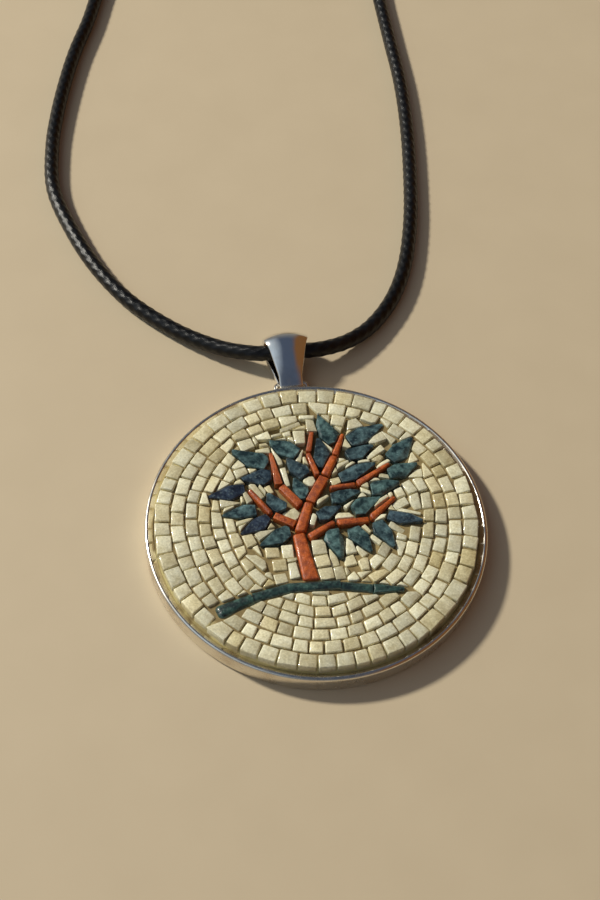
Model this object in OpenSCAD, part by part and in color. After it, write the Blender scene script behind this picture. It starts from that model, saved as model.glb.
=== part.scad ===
// Micro-mosaic tree of life pendant: small cut tesserae bedded in a round metal tray,
// a folded strip bail on a wire staple, and a waxed cord that ends in crimps and a clasp.
// Origin: middle of the tray's flat back. +Z out through the mosaic, +Y towards the bail.

/* [Tray] */
// Outside diameter of the tray
tray_d = 40; // [38:0.5:42]
// Height of the rim above the back
rim_h = 2.55; // [2.4:0.05:2.8]
// Width of the rim seen from the front
rim_w = 1.05; // [0.8:0.05:1.1]
// Thickness of the tray's back
back_t = 0.6; // [0.4:0.1:0.8]

/* [Mosaic] */
// Thickness of the bonding mortar under the tesserae
mortar_t = 0.9; // [0.6:0.1:1.2]
// Height of the cream tesserae
cream_h = 1.75; // [1.5:0.05:2]
// Height of the leaf chips
leaf_h = 1.9; // [1.6:0.05:2.1]
// Height of the terracotta limbs
limb_h = 1.95; // [1.6:0.05:2.1]
// Open joint left between neighbouring pieces
joint_gap = 0.12; // [0.1:0.01:0.16]
// Spread of the heights of neighbouring pieces
height_spread = 0.16; // [0:0.02:0.2]
// Smallest piece that is still laid, in square millimetres
least_area = 0.3; // [0.3:0.1:1]

/* [Bail] */
// Width of the strip where it passes over the cord
bail_head_w = 5.7; // [5:0.1:6]
// Width of the strip at the staple
bail_foot_w = 3; // [2.6:0.1:3.1]
// Outside radius of the bend over the cord
bail_head_r = 2.35; // [2.2:0.05:2.6]
// Thickness of the folded strip
strip_t = 0.5; // [0.4:0.05:0.6]
// Diameter of the staple's wire
staple_wire = 0.65; // [0.55:0.05:0.7]

/* [Cord and fittings] */
// Diameter of the waxed cord
cord_d = 2; // [1.8:0.1:2]
// Diameter of the jump rings' wire
ring_wire = 0.6; // [0.5:0.05:0.65]
// Thickness of the lobster clasp
clasp_t = 2.2; // [2:0.1:2.2]

/* [Hidden] */

tray_r = tray_d / 2;
cup_r = tray_r - rim_w;             // inside of the rim
bed_z = back_t + mortar_t;          // level on which every tessera stands

// Bars are cut pieces with straight sides: [x, y, x, y, width at start, width at end].
ground_bars = [
    [-12.9, -10.65, -8.75, -9.25, 1.9, 1.45],
    [-8.6, -9.15, -4.4, -8.4, 1.3, 1.3],
    [-4.4, -8.4, 1.25, -8.7, 1.3, 1.15],
    [1.4, -8.8, 4.9, -9.6, 1.15, 1.3],
    [5, -9.65, 8.4, -10.15, 1.35, 0.6]];
limb_bars = [
    [-1.8, -7.95, -2.4, -1.55, 1.95, 1.45],
    [-2.2, -1.4, -0.55, 2.4, 1.35, 1.1],
    [-0.45, 2.55, 1.75, 5.8, 1.15, 1.2],
    [1.85, 5.95, 3.4, 8.6, 1.1, 0.95],
    [3.5, 8.75, 4.95, 11.75, 0.85, 0.5],
    [-1.65, 2.2, -3.5, 5.1, 1, 0.9],
    [-3.75, 5.3, -4.15, 9.8, 0.95, 0.4],
    [-2.6, -0.3, -4.85, 1.15, 0.95, 0.85],
    [-5.15, 1.4, -7.35, 4.95, 0.7, 0.6],
    [0.95, 6.1, 0.3, 9.3, 0.65, 0.55],
    [0.4, 9.5, 1.2, 12.3, 0.7, 0.55],
    [2.1, 4.15, 5.3, 4.3, 0.6, 0.65],
    [5.45, 4.45, 9.7, 6.65, 0.8, 0.4],
    [-1.3, -2.2, 2, -0.5, 1, 0.7],
    [2.25, -0.7, 6.1, -0.6, 0.85, 0.8],
    [6.25, -0.45, 9.6, 2.05, 0.85, 0.45]];

// Leaves run from the stalk end to the tip: [x, y, x, y, width at the belly].
leaf_chips = [
    // upper left
    [-4.6, 8.4, -8.7, 10.6, 2.5], [-4.3, 6.7, -8.1, 6.6, 2], [-4.1, 1.5, -5.2, 4.2, 2.3],
    [-0.8, 9.4, -4.1, 11.6, 2.5],
    // left
    [-7.7, 5.1, -12.1, 4.6, 2], [-6.7, 2.4, -10.8, 1.9, 2], [-5.1, 1.1, -9, -0.8, 2],
    [-3, -0.9, -7, -2.7, 2.2],
    // crown
    [4, 10.6, 1.9, 15.2, 2.5], [2.1, 7, 1.8, 11.4, 2.3], [-0.4, 6.1, -2.3, 8.9, 2.2],
    [-1, 3, -1.8, 6.1, 1.9],
    // upper right
    [5.4, 10.3, 10, 12.6, 2.5], [4.9, 8.2, 8.3, 9.6, 2.2], [10, 7.2, 13.2, 10.1, 2.5],
    [9.4, 5.2, 13.1, 6.4, 2.1],
    // right
    [3.5, 5.5, 8.1, 7, 2.1], [6.9, 3.5, 10.5, 3.9, 2.3], [2, 2.8, 5.7, 3.4, 2],
    [0.1, 0.4, 3.1, 1.5, 1.8], [4.3, 0.8, 7.9, 2.5, 2],
    // low right
    [1.4, -1.4, 2.1, -5.5, 2.2], [4, -1.3, 5.6, -5, 2.2], [6.8, -1, 8.3, -4.7, 2],
    [8.2, -0.3, 12.2, -1.7, 1.8]];
leaf_groups = [[0, 3], [4, 7], [8, 11], [12, 15], [16, 20], [21, 24]];

// Hand-nipped cream chips that fill the crown between the leaves, given as bars.
chip_bars = [
    [-3.75, 10.9, -3.1, 8.2, 0.9, 0.6], [-3, 7.6, -2.7, 5.1, 0.7, 0.6],
    [-0.5, 10.2, -1, 8.5, 0.8, 0.6], [-0.8, 5.6, 0.7, 5.4, 1.4, 1.3],
    [-7.1, 5.9, -5.9, 3.8, 1, 0.8], [-8, 4.8, -7.4, 3.4, 0.4, 0.8],
    [-5.2, 5.4, -4.7, 4.3, 0.8, 0.6], [-3.3, 2, -2.3, 0.5, 1.6, 1.4],
    [-10.9, 3.5, -8.6, 3.55, 1.2, 0.3], [-9.4, 0.85, -7.3, 1.05, 1.1, 0.3],
    [-7.2, -1.5, -4.6, 0, 1, 0.4], [-2.5, 12.95, 0, 13.9, 0.5, 0.6],
    [-0.4, 10.9, -0.3, 12.8, 1.2, 1.5], [1.3, 12.5, 1.4, 14.2, 1.2, 1.3],
    [-3.7, 12.3, -1.7, 12.7, 0.4, 0.5], [-5.8, 10.2, -4.2, 10.3, 1, 1.1],
    [-7.7, 11.3, -6, 11.8, 1.5, 1.4], [-8.7, 7.3, -7.2, 7.7, 1.2, 1.1],
    [2.5, 11.3, 3.4, 9.3, 0.8, 0.8], [3.4, 7.05, 5.3, 7.9, 0.7, 0.3],
    [1.3, 7.3, 1.5, 6.2, 0.4, 0.3], [2.5, 5, 3.8, 5.3, 0.9, 0.8],
    [7.3, 7.9, 9.4, 9.2, 0.5, 0.9], [6.1, 7.5, 8.3, 7.3, 0.5, 0.6],
    [6.6, 5.95, 10, 7.35, 0.4, 0.6], [7.9, 10, 9.8, 10.9, 0.7, 1.2],
    [6.4, 13.8, 6.6, 12.4, 1, 2.2], [11.6, 7, 13.1, 7.6, 1, 1.3],
    [11.8, 5.2, 13.4, 5.1, 1, 1.2], [8.3, 5.35, 10.3, 4.7, 0.6, 0.5],
    [5.3, 4, 7.5, 2.7, 0.6, 0.4], [3.5, 1.3, 6.1, 2.8, 0.6, 0.4],
    [0.3, 2.3, 1.8, 3.2, 0.6, 0.4], [2.2, 0.35, 5.1, 0.2, 0.8, 0.6],
    [6.7, 1.1, 8.8, 2.4, 0.4, 0.4], [-0.7, -0.5, -0.1, 0.8, 0.7, 0.6],
    [9.2, 0.9, 10.9, 1.5, 1.2, 1.1], [9.6, 0.3, 12, -0.8, 0.7, 0.9],
    [8.3, -1.4, 9.8, -2.7, 0.8, 0.6], [5.1, -1.3, 5.7, -2.4, 0.8, 0.8],
    [6, -2.6, 7, -3.8, 0.9, 1], [3, -2, 3.3, -4.8, 0.5, 1.3],
    [1.1, -4, 1.2, -6.2, 0.6, 1], [-0.3, -2.7, -0.3, -4.5, 1.5, 1.6],
    [-0.3, -4.7, -0.2, -6.2, 1.6, 1.7], [-0.1, -6.4, 0, -7.9, 1.7, 1.7],
    [1.4, -6.4, 1.5, -8, 1.2, 1.3], [2.2, -5.9, 3.6, -5.6, 1.2, 1.4],
    [4.1, -3.9, 4.9, -5.2, 0.8, 1], [4.4, -5.6, 4.4, -7.2, 1.3, 1.2],
    [-6.5, -3.6, -4.9, -3.6, 1.3, 1.3], [-4.6, -3.7, -3.3, -3.7, 1.7, 1.7],
    [-8.4, -3.3, -6.6, -5.6, 1.1, 1.2], [-5.9, -5.2, -4.3, -5.2, 1.7, 1.8],
    [-3.7, -5.2, -3.6, -7.3, 1, 1.2], [-5.9, -7.2, -4.5, -7, 1.3, 1.2]];

// Rows of cream tesserae follow the rim inwards: [inner radius, outer radius, pieces].
cream_rows = [
    [17.05, 18.85, 53], [15.4, 16.95, 50], [13.85, 15.3, 45], [12.4, 13.75, 41],
    [10.95, 12.3, 37], [9.55, 10.85, 32], [8.15, 9.45, 28], [6.75, 8.05, 23],
    [5.3, 6.65, 18]];

// Route of the cord's middle line from the left crimp through the bail to the coil.
cord_route = [
    [-18, 106.2, 1.4], [-18, 104, 1.3], [-18.3, 101, 1.1], [-19, 98.5, 1], [-20.7, 92.5, 1],
    [-23, 86, 1], [-24.7, 80, 1], [-26.3, 73, 1], [-27.4, 66, 1], [-27.6, 58, 1],
    [-25.5, 50, 1], [-22.6, 43, 1], [-18.8, 37, 1], [-13.5, 31.6, 1.1], [-8.5, 27.9, 1.6],
    [-4.5, 26, 2.2], [-2, 25.6, 2.35], [2, 25.5, 2.35], [5, 25.8, 2.1], [8.5, 27.2, 1.5],
    [12, 29.8, 1.1], [15.5, 34.2, 1], [18.2, 40, 1], [20.4, 48, 1], [22, 57, 1],
    [23.2, 66, 1], [23.9, 75, 1], [24, 84, 1], [24.1, 93, 1], [24.2, 99, 1.2], [24.2, 105, 1.45]];
// Route of the end that leaves the top of the coil and drops to the right crimp.
tail_route = [
    [11.2, 124.1, 3.5], [8, 124.6, 3.2], [5, 125.4, 2.5], [2, 126.3, 1.7], [-1, 126.9, 1.4],
    [-3.2, 127, 1.4]];

coil_at = [12, 112];                // middle of the coil
coil_in = 8.9;                      // inside radius of the wound cord
coil_out = 13.2;                    // outside radius of the wound cord
coil_low = 0.45;                    // the coil rests on the thread that ties it
coil_high = 4.55;
tie_angle = 225;

staple_at = [0, 21.25, 1.15];       // middle of the staple's crossbar: the bail's hinge
bail_at = [25.8, bail_head_r];      // middle of the bend over the cord, in y and z
crimp_left_at = [-18, 105];         // mouth of the left crimp
crimp_right_at = [-2, 127];         // mouth of the right crimp
crimp_l = 6.5;
crimp_eye = 7.9;                    // from the crimp's mouth to the middle of its eye
fitting_z = 1.6;                    // level at which rings, eyes and clasp are threaded
ring_r = 1.3;                       // middle radius of a jump ring
pin_at = [1.7, 3.5];                // the clasp's pin, measured from the middle of its eye
round_fn = 48;

// ---- plane geometry of cut pieces (all outlines run anticlockwise) ----

function sum(v) = v * [for (x = v) 1];
function area(p) = sum([for (i = [0:len(p) - 1])
    let (q = p[(i + 1) % len(p)]) p[i][0] * q[1] - p[i][1] * q[0]]) / 2;
function middle(p) = [sum([for (q = p) q[0]]), sum([for (q = p) q[1]])] / len(p);
function reach(p, c) = max([for (q = p) norm(q - c)]);

// Outline of a bar whose two ends may have different widths
function bar(b) = let (p = [b[0], b[1]], q = [b[2], b[3]], d = (q - p) / norm(q - p),
                       n = [-d[1], d[0]])
    [p - n * b[4] / 2, q - n * b[5] / 2, q + n * b[5] / 2, p + n * b[4] / 2];

// Outline of leaf chip k: a blunt stalk end, a belly that differs on its two sides and a nipped tip
function leaf(b, k) = let (p = [b[0], b[1]], q = [b[2], b[3]], d = q - p,
                           n = [-d[1], d[0]] / norm(d) * b[4], cut = rands(0, 1, 4, 90 + k))
    [p - n * (0.22 + 0.2 * cut[0]), p + d * (0.18 + 0.3 * cut[1]) - n * (0.46 + 0.14 * cut[2]),
     q - n * 0.08, q + n * 0.08, p + d * (0.6 - 0.34 * cut[3]) + n * (0.42 + 0.14 * cut[3]),
     p + d * 0.04 + n * (0.44 - 0.16 * cut[0])];

// The part of outline p on the side of the line through a that the normal n points to
function clip(p, a, n) = [for (i = [0:len(p) - 1])
    let (u = p[i], v = p[(i + 1) % len(p)], du = (u - a) * n, dv = (v - a) * n)
    each (du >= 0 ? (dv >= 0 ? [u] : [u, u + (v - u) * du / (du - dv)])
                  : (dv >= 0 ? [u + (v - u) * du / (du - dv)] : []))];

// Outline p nipped along the one side of piece o that leaves most of it
function beside(p, o) = len(p) < 3 ? [] : let (
    cuts = [for (i = [0:len(o) - 1])
        let (a = o[i], b = o[(i + 1) % len(o)], n = [b[1] - a[1], a[0] - b[0]] / norm(b - a))
        clip(p, a + n * joint_gap, n)],
    sizes = [for (c = cuts) len(c) < 3 ? 0 : area(c)],
    best = max(sizes))
    best == 0 ? [] : cuts[search(best, sizes)[0]];
function around(p, fixed, i = 0) = i == len(fixed) ? p : around(beside(p, fixed[i]), fixed, i + 1);
function tidy(p) = len(p) < 3 ? [] :
    [for (i = [0:len(p) - 1]) if (norm(p[i] - p[(i + 1) % len(p)]) > 0.08) p[i]];

// One piece nipped to clear every piece near it
function nip(p, fixed) = let (c = middle(p), r = reach(p, c),
    near = [for (o = fixed) if (len(o) > 2)
        let (m = middle(o)) if (norm(m - c) < r + reach(o, m) + joint_gap) o],
    cut = tidy(around(p, near)))
    len(cut) < 3 || area(cut) < least_area ? [] : cut;
// A list of pieces laid one after the other, each clear of those before it
function lay(new, fixed, i = 0, done = []) = i == len(new) ? done :
    lay(new, fixed, i + 1, concat(done, [nip(new[i], concat(fixed, done))]));

function ground_laid() = [for (b = ground_bars) bar(b)];
function limbs_laid() = lay([for (b = limb_bars) bar(b)], ground_laid());
function wood_laid() = concat(ground_laid(), limbs_laid());
function leaves_laid(wood) = lay([for (k = [0:len(leaf_chips) - 1]) leaf(leaf_chips[k], k)], wood);
function chips_laid(fixed) = lay([for (b = chip_bars) bar(b)], fixed);

// How far a hand-laid row wanders from its circle: nothing at the rim, most near the middle
function wander(r, a) = (tray_r - 1 - r) * (0.035 * sin(3 * a + 40) + 0.02 * sin(7 * a));

// Corners of one row's tesserae, with uneven lengths and a little turn in each
function row_pieces(k) = let (row = cream_rows[k], n = row[2], mid_r = (row[0] + row[1]) / 2,
    step = rands(0.8, 1.25, n, 11 + k), whole = sum(step),
    ends = [for (i = 0, s = 0; i <= n; s = s + (i < n ? step[i] : 0), i = i + 1) s / whole * 360],
    turn = rands(-2.2, 2.2, n, 31 + k), pull = rands(-0.07, 0.07, n, 51 + k),
    half_gap = joint_gap * 0.62 / mid_r * 180 / PI)
    [for (i = [0:n - 1]) let (a = ends[i] + half_gap, b = ends[i + 1] - half_gap, c = (a + b) / 2,
        m = (mid_r + wander(mid_r, c)) * [cos(c), sin(c)],
        low = row[0] + abs(pull[i]), high = row[1] - abs(pull[n - 1 - i]))
        [for (q = [[low, a], [high, a], [high, b], [low, b]])
            let (v = (q[0] + wander(q[0], q[1])) * [cos(q[1]), sin(q[1])] - m)
            m + [v[0] * cos(turn[i]) - v[1] * sin(turn[i]), v[0] * sin(turn[i]) + v[1] * cos(turn[i])]]];

module stand(outline, height) {
    if (len(outline) > 2)
        translate([0, 0, bed_z]) linear_extrude(height) polygon(outline);
}

// ---- tray ----

module tray() {
    lip = 0.3;                      // flat outer edge of the rim, inside which it slopes
    round_r = 0.35;
    color("silver") rotate_extrude($fn = 128) difference() {
        union() {
            square([tray_r - round_r, back_t]);
            translate([cup_r, 0]) square([rim_w - round_r, rim_h]);
            translate([tray_r - round_r, round_r]) square([round_r, rim_h - 2 * round_r]);
            for (z = [round_r, rim_h - round_r])
                translate([tray_r - round_r, z]) circle(r = round_r, $fn = round_fn);
        }
        polygon([[cup_r - 1, rim_h + 1], [cup_r - 1, rim_h - 0.62], [cup_r, rim_h - 0.62],
                 [tray_r - lip - 0.15, rim_h], [tray_r - lip - 0.15, rim_h + 1]]);
    }
}

module staple() {
    leg_x = 1.95;
    color("silver") difference() {
        union() {
            translate([-leg_x, 0, 0] + staple_at) rotate([0, 90, 0])
                cylinder(d = staple_wire, h = 2 * leg_x, $fn = round_fn);
            for (x = [-leg_x, leg_x]) {
                translate([x, 0, 0] + staple_at) sphere(d = staple_wire, $fn = round_fn);
                translate([x, 0, 0] + staple_at) rotate([90, 0, 0])
                    cylinder(d = staple_wire, h = 2, $fn = round_fn);
            }
        }
        cylinder(r = tray_r, h = rim_h, $fn = 128);
    }
}

module mortar_bed() {
    color("tan") translate([0, 0, back_t]) cylinder(r = cup_r, h = mortar_t, $fn = 128);
}

// ---- tree ----

module ground_piece(i) {
    lift = rands(-0.06, 0.06, 5, 3)[i];
    color("darkslategray") stand(bar(ground_bars[i]), leaf_h + lift);
}

// The longest ground stick is bent once, so it is one outline over two bars
module ground_middle() {
    a = bar(ground_bars[1]);
    b = bar(ground_bars[2]);
    color("darkslategray")
        stand([a[0], (a[1] + b[0]) / 2, b[1], b[2], (a[2] + b[3]) / 2, a[3]], leaf_h);
}

module limb(i) {
    lift = rands(-0.08, 0.08, 16, 5)[i];
    color("chocolate") stand(limbs_laid()[i], limb_h + lift);
}

module leaf_group(g) {
    leaves = leaves_laid(wood_laid());
    lift = rands(-height_spread, height_spread / 2, len(leaf_chips), 7);
    color("darkcyan") for (i = [leaf_groups[g][0]:leaf_groups[g][1]])
        stand(leaves[i], leaf_h + lift[i]);
}

// ---- cream ground ----

module cream_chips() {
    wood = wood_laid();
    chips = chips_laid(concat(wood, leaves_laid(wood)));
    lift = rands(-height_spread, height_spread / 2, len(chips), 9);
    color("cornsilk") for (i = [0:len(chips) - 1])
        stand(chips[i], cream_h + lift[i]);
}

module cream_row(k) {
    wood = wood_laid();
    tree = concat(wood, leaves_laid(wood));
    fixed = concat(tree, chips_laid(tree));
    pieces = row_pieces(k);
    lift = rands(-height_spread / 2, height_spread / 2, len(pieces), 71 + k);
    color("cornsilk") for (i = [0:len(pieces) - 1])
        stand(nip(pieces[i], fixed), cream_h + lift[i]);
}

// ---- bail ----

// The strip runs round a small disc at the foot and a larger one at the head. f and h are their
// middles in y and z; the lines that touch both leave the head at these angles.
function touch_angles(f, rf, h, rh) = let (v = h - f, turn = atan2(v[1], v[0]),
                                           a = acos((rf - rh) / norm(v)))
    [turn - a, turn + a];
function arc(c, r, from, to, steps) = [for (i = [0:steps])
    let (g = from + (to - from) * i / steps) c + r * [cos(g), sin(g)]];

// Outside of the folded strip
function drop_outline(f, rf, h, rh) = let (g = touch_angles(f, rf, h, rh))
    concat(arc(h, rh, g[0], g[1], 28), arc(f, rf, g[1], g[0] + 360, 14));

// Inside of the folded strip: two true bores and the straight stretch between them
module drop_bore(f, rf, h, rh) {
    g = touch_angles(f, rf, h, rh);
    translate(f) circle(r = rf, $fn = round_fn);
    translate(h) circle(r = rh, $fn = round_fn);
    polygon([for (a = g) h + rh * [cos(a), sin(a)],
             for (a = [g[1], g[0]]) f + rf * [cos(a), sin(a)]]);
}

module bail() {
    foot = [staple_at[1], staple_at[2]];
    foot_r = 1.05;
    y0 = foot[0] - foot_r;
    y1 = bail_at[0] + bail_head_r;
    color("silver") intersection() {
        rotate([90, 0, 90]) translate([0, 0, -bail_head_w]) linear_extrude(2 * bail_head_w)
            difference() {
                polygon(drop_outline(foot, foot_r, bail_at, bail_head_r));
                drop_bore(foot, foot_r - strip_t, bail_at, bail_head_r - strip_t);
            }
        translate([0, 0, -1]) linear_extrude(2 * bail_head_r + 2)
            polygon([[-bail_foot_w / 2, y0 - 0.1], [bail_foot_w / 2, y0 - 0.1],
                     [bail_foot_w / 2, y0 + 2 * foot_r], [bail_head_w / 2, y1 - 1.6],
                     [bail_head_w / 2, y1 + 1], [-bail_head_w / 2, y1 + 1],
                     [-bail_head_w / 2, y1 - 1.6], [-bail_foot_w / 2, y0 + 2 * foot_r]]);
    }
}

// ---- cord ----

// Point on the smooth curve through the route's points, at t from 0 to the last index
function on_route(r, t) = let (i = min(floor(t), len(r) - 2), u = t - i, b = r[i], c = r[i + 1],
    a = i > 0 ? r[i - 1] : 2 * b - c, d = i < len(r) - 2 ? r[i + 2] : 2 * c - b,
    p = (2 * b + (c - a) * u + (2 * a - 5 * b + 4 * c - d) * u * u
         + (3 * b - a - 3 * c + d) * u * u * u) / 2)
    [p[0], p[1], max(p[2], cord_d / 2)];

// A tube of eight sides swept along a route, closed at both ends
module tube(route, rings) {
    sides = 8;
    last = len(route) - 1;
    at = [for (k = [0:rings]) on_route(route, last * k / rings)];
    points = [for (k = [0:rings])
        let (v = at[min(k + 1, rings)] - at[max(k - 1, 0)],
             side = cross(v, [0, 0, 1]) / norm(cross(v, [0, 0, 1])), up = cross(side, v) / norm(v))
        for (s = [0:sides - 1]) let (g = 360 * (s + 0.5) / sides)
            at[k] + cord_d / 2 * (side * cos(g) + up * sin(g))];
    faces = [for (k = [0:rings - 1], s = [0:sides - 1]) let (n = (s + 1) % sides)
        [k * sides + s, k * sides + n, (k + 1) * sides + n, (k + 1) * sides + s]];
    polyhedron(points, concat(faces, [[for (s = [0:sides - 1]) sides - 1 - s]],
                              [[for (s = [0:sides - 1]) rings * sides + s]]));
}

module cord() {
    color("black") tube(cord_route, 44);
}

module cord_tail() {
    color("black") tube(tail_route, 6);
}

// Outer shape of the cord's wound turns
module cord_coil() {
    round_r = 0.9;
    color("black") translate([coil_at[0], coil_at[1], 0]) rotate_extrude($fn = 96)
        union() {
            translate([coil_in + round_r, coil_low])
                square([coil_out - coil_in - 2 * round_r, coil_high - coil_low]);
            translate([coil_in, coil_low + round_r])
                square([coil_out - coil_in, coil_high - coil_low - 2 * round_r]);
            for (x = [coil_in + round_r, coil_out - round_r],
                 z = [coil_low + round_r, coil_high - round_r])
                translate([x, z]) circle(r = round_r, $fn = 24);
        }
}

// Flat thread wrapped once round the wound turns
module coil_tie() {
    wide = 1.6;
    thick = 0.35;
    slack = 0.06;
    grow = slack + thick;
    color("saddlebrown") translate([coil_at[0], coil_at[1], 0]) rotate([0, 0, tie_angle])
        translate([0, wide / 2, 0]) rotate([90, 0, 0]) linear_extrude(wide) difference() {
            translate([coil_in - grow, coil_low - grow])
                square([coil_out - coil_in + 2 * grow, coil_high - coil_low + 2 * grow]);
            translate([coil_in - slack, coil_low - slack])
                square([coil_out - coil_in + 2 * slack, coil_high - coil_low + 2 * slack]);
        }
}

// ---- end fittings ----

// Folded crimp: a box shut over the cord's end, with a flat eye. The mouth is at the origin.
module crimp() {
    wide = 3;
    high = 2.8;
    eye_r = 1;
    eye_t = 0.7;
    difference() {
        union() {
            translate([-wide / 2, 0, 0]) cube([wide, crimp_l, high]);
            translate([0, crimp_eye, fitting_z - eye_t / 2]) cylinder(r = eye_r, h = eye_t, $fn = round_fn);
            translate([-eye_r, crimp_l - 0.1, fitting_z - eye_t / 2])
                cube([2 * eye_r, crimp_eye - crimp_l + 0.1, eye_t]);
        }
        translate([0, -1, 1.4]) rotate([-90, 0, 0]) cylinder(r = cord_d / 2 + 0.05, h = 3, $fn = round_fn);
        translate([0, crimp_eye, 0]) cylinder(d = 1.2, h = 4, $fn = round_fn);
    }
}

module crimp_left() {
    color("silver") translate([crimp_left_at[0], crimp_left_at[1], 0]) crimp();
}

module crimp_right() {
    color("silver") translate([crimp_right_at[0], crimp_right_at[1], 0]) rotate([0, 0, 90]) crimp();
}

module jump_ring() {
    rotate([0, 90, 0]) rotate_extrude($fn = round_fn)
        translate([ring_r, 0]) circle(d = ring_wire, $fn = 24);
}

module jump_ring_left() {
    color("silver")
        translate([crimp_left_at[0], crimp_left_at[1] + crimp_eye + ring_r, fitting_z]) jump_ring();
}

module jump_ring_right() {
    color("silver")
        translate([crimp_right_at[0] - crimp_eye - ring_r, crimp_right_at[1], fitting_z])
        rotate([0, 0, 90]) jump_ring();
}

// Everything of the clasp is drawn round the middle of its eye, pointing along +Y
module at_clasp() {
    translate([crimp_left_at[0], crimp_left_at[1] + crimp_eye + 2 * ring_r, fitting_z - clasp_t / 2])
        children();
}

module clasp_body() {
    slot_t = 1.2;
    eye_r = 1.1;
    eye_t = 0.9;
    color("silver") at_clasp() difference() {
        union() {
            linear_extrude(clasp_t) difference() {
                union() {
                    translate([0, 6.2]) circle(r = 3, $fn = round_fn);
                    polygon([[-1.4, 1.7], [1.4, 1.7], [2.8, 4.6], [2.6, 6], [-2.6, 6], [-2.8, 4.6]]);
                }
                translate([0, 6.6]) circle(r = 1.9, $fn = round_fn);
                translate([0.9, 4.4]) square([3, 3.4]);
            }
            translate([0, 0, (clasp_t - eye_t) / 2]) linear_extrude(eye_t) {
                circle(r = eye_r, $fn = round_fn);
                translate([-eye_r, 0]) square([2 * eye_r, 2]);
            }
        }
        translate([0, 0, -1]) cylinder(d = 1.2, h = clasp_t + 2, $fn = round_fn);
        translate([0.1, 2.6, (clasp_t - slot_t) / 2]) cube([4, 2.6, slot_t]);
        translate([pin_at[0], pin_at[1], -1]) cylinder(r = 0.3, h = clasp_t + 2, $fn = round_fn);
    }
}

module clasp_lever() {
    thick = 1;
    color("silver") at_clasp() translate([0, 0, (clasp_t - thick) / 2]) linear_extrude(thick)
        difference() {
            union() {
                translate(pin_at) circle(r = 0.65, $fn = round_fn);
                translate([pin_at[0] - 0.45, pin_at[1]]) square([0.7, 4.2]);
                translate([2.2, 5]) circle(r = 0.6, $fn = round_fn);
            }
            translate(pin_at) circle(r = 0.36, $fn = round_fn);
        }
}

module clasp_pin() {
    color("silver") at_clasp() translate([pin_at[0], pin_at[1], 0])
        cylinder(r = 0.3, h = clasp_t, $fn = round_fn);
}

module clasp_spring() {
    color("gray") at_clasp() translate([0.3, 2.9, (clasp_t - 0.9) / 2]) cube([0.2, 1.8, 0.9]);
}

tray();
staple();
mortar_bed();
ground_piece(0);  // ground_left
ground_middle();
ground_piece(3);  // ground_right
ground_piece(4);  // ground_tip
limb(0);  // trunk_foot
limb(1);  // trunk_top
limb(2);  // main_limb_low
limb(3);  // main_limb_middle
limb(4);  // main_limb_tip
limb(5);  // left_limb
limb(6);  // left_limb_tip
limb(7);  // low_left_limb
limb(8);  // low_left_tip
limb(9);  // centre_limb
limb(10);  // centre_limb_tip
limb(11);  // right_limb
limb(12);  // right_limb_tip
limb(13);  // low_right_limb
limb(14);  // low_right_middle
limb(15);  // low_right_tip
leaf_group(0);  // leaves_upper_left
leaf_group(1);  // leaves_left
leaf_group(2);  // leaves_crown
leaf_group(3);  // leaves_upper_right
leaf_group(4);  // leaves_right
leaf_group(5);  // leaves_low_right
cream_chips();
cream_row(0);  // cream_row_1
cream_row(1);  // cream_row_2
cream_row(2);  // cream_row_3
cream_row(3);  // cream_row_4
cream_row(4);  // cream_row_5
cream_row(5);  // cream_row_6
cream_row(6);  // cream_row_7
cream_row(7);  // cream_row_8
cream_row(8);  // cream_row_9
bail();
cord();
cord_coil();
cord_tail();
coil_tie();
crimp_left();
crimp_right();
jump_ring_left();
jump_ring_right();
clasp_body();
clasp_lever();
clasp_pin();
clasp_spring();
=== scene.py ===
import math
import random
import bpy
from mathutils import Matrix, Vector, noise


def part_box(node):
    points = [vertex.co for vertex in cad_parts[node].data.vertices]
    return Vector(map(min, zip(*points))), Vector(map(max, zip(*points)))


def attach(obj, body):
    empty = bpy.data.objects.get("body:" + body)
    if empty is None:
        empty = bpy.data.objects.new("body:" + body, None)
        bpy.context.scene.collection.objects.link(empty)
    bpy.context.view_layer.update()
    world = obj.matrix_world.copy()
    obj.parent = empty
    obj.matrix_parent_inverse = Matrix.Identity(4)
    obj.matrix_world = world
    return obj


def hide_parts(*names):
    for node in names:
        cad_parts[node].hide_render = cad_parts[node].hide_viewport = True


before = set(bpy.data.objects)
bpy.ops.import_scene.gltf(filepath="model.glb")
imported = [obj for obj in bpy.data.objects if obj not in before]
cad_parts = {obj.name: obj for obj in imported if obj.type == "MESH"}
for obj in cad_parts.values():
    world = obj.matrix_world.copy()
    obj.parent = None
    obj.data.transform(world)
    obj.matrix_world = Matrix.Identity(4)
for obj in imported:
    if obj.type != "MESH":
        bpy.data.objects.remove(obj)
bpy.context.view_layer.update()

# ---- Camera ----
# The necklace lies on a table and is seen from the front, a little from the left and well
# above, with the bail and the cord running away from the viewer.
mm = 0.001
azimuth = math.radians(-12)
elevation = math.radians(55.66)
roll = math.radians(4.485)
aim = Vector((-0.1, 12.1, 0)) * mm
distance = 177.4 * mm
back = Vector((math.sin(azimuth) * math.cos(elevation), -math.cos(azimuth) * math.cos(elevation),
               math.sin(elevation)))
level = Vector((math.cos(azimuth), math.sin(azimuth), 0))
upward = back.cross(level)
camera = bpy.data.objects.new("camera", bpy.data.cameras.new("camera"))
camera.data.lens = 58
camera.data.clip_start = 10 * mm
camera.matrix_world = Matrix.Translation(aim + back * distance) @ Matrix((
    level * math.cos(roll) + upward * math.sin(roll),
    upward * math.cos(roll) - level * math.sin(roll),
    back)).transposed().to_4x4()
bpy.context.collection.objects.link(camera)
bpy.context.scene.camera = camera

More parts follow.
